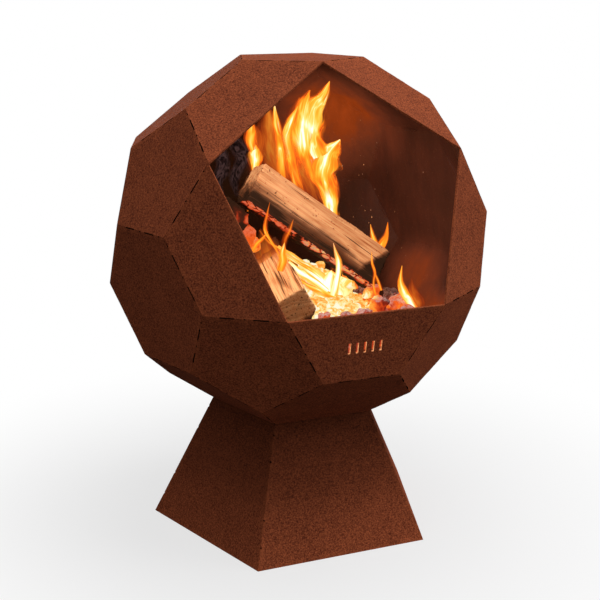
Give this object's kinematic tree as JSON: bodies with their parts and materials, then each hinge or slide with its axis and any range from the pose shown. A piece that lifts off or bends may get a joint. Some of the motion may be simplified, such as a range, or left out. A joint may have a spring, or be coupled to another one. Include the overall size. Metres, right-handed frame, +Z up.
{
  "type": "tabletop brazier",
  "caption": "Faceted fire ball of rusted steel plates with a five-sided mouth, nested on a tapered five-sided base, with grate, ash tray and a log fire.",
  "frame": {"origin": "on the ground, in the middle of the base's five-sided foot, straight under the ball's centre", "axes": "+Z up; the mouth looks towards -Y and up; +X is to the right as one faces the mouth"},
  "size_m": [0.3884, 0.3694, 0.4891],
  "materials": {
    "ball_steel": "matte",
    "base_steel": "matte",
    "weld_metal": "matte",
    "grate_steel": "matte",
    "tray_steel": "matte",
    "wood_ash": "matte",
    "glowing_embers": "matte",
    "charcoal": "matte",
    "charred_wood": "matte",
    "split_wood": "matte"
  },
  "bodies": {
    "base": {"base_floor": "base_steel", "base_panel_back_left": "base_steel", "base_panel_back_right": "base_steel", "base_panel_front": "base_steel", "base_panel_left": "base_steel", "base_panel_right": "base_steel", "base_stitch_welds": "weld_metal"},
    "ash_tray": {"ash_tray": "tray_steel"},
    "ball": {"ball_hexagon_bottom_back_left": "ball_steel", "ball_hexagon_bottom_back_right": "ball_steel", "ball_hexagon_bottom_front": "ball_steel", "ball_hexagon_bottom_left": "ball_steel", "ball_hexagon_bottom_right": "ball_steel", "ball_hexagon_lower_back_left": "ball_steel", "ball_hexagon_lower_back_right": "ball_steel", "ball_hexagon_lower_left": "ball_steel", "ball_hexagon_lower_right": "ball_steel", "ball_hexagon_top_back": "ball_steel", "ball_hexagon_top_left": "ball_steel", "ball_hexagon_top_right": "ball_steel", "ball_hexagon_upper_back": "ball_steel", "ball_hexagon_upper_left": "ball_steel", "ball_hexagon_upper_right": "ball_steel", "ball_pentagon_bottom": "ball_steel", "ball_pentagon_lower_back": "ball_steel", "ball_pentagon_lower_front_left": "ball_steel", "ball_pentagon_lower_front_right": "ball_steel", "ball_pentagon_lower_left": "ball_steel", "ball_pentagon_lower_right": "ball_steel", "ball_pentagon_top": "ball_steel", "ball_pentagon_upper_back_left": "ball_steel", "ball_pentagon_upper_back_right": "ball_steel", "ball_pentagon_upper_left": "ball_steel", "ball_pentagon_upper_right": "ball_steel", "ball_stitch_welds": "weld_metal", "mouth_plate_side_left": "ball_steel", "mouth_plate_side_right": "ball_steel", "mouth_plate_sill": "ball_steel", "mouth_plate_top_left": "ball_steel", "mouth_plate_top_right": "ball_steel"},
    "grate": {"fire_grate": "grate_steel", "ash_bed": "wood_ash", "ember_bed": "glowing_embers", "ember_mound": "glowing_embers", "charcoal_lumps": "charcoal", "charred_log": "charred_wood"},
    "upper_log": {"upper_log": "split_wood"},
    "lower_log": {"lower_log": "split_wood"}
  },
  "joints": [
    {"name": "ball_lift", "type": "slide", "parent": "base", "child": "ball", "axis": [0, 0, 1], "range_m": [0, 0.15]},
    {"name": "ash_tray_lift", "type": "slide", "parent": "base", "child": "ash_tray", "axis": [0, 0, 1], "range_m": [0, 0.05]},
    {"name": "grate_lift", "type": "slide", "parent": "ball", "child": "grate", "axis": [0, 0, 1], "range_m": [0, 0.035]},
    {"name": "upper_log_lift", "type": "slide", "parent": "grate", "child": "upper_log", "axis": [0, 0, 1], "range_m": [0, 0.04]},
    {"name": "lower_log_draw", "type": "slide", "parent": "grate", "child": "lower_log", "axis": [-0.1862, -0.9619, 0.2], "range_m": [0, 0.035]}
  ]
}
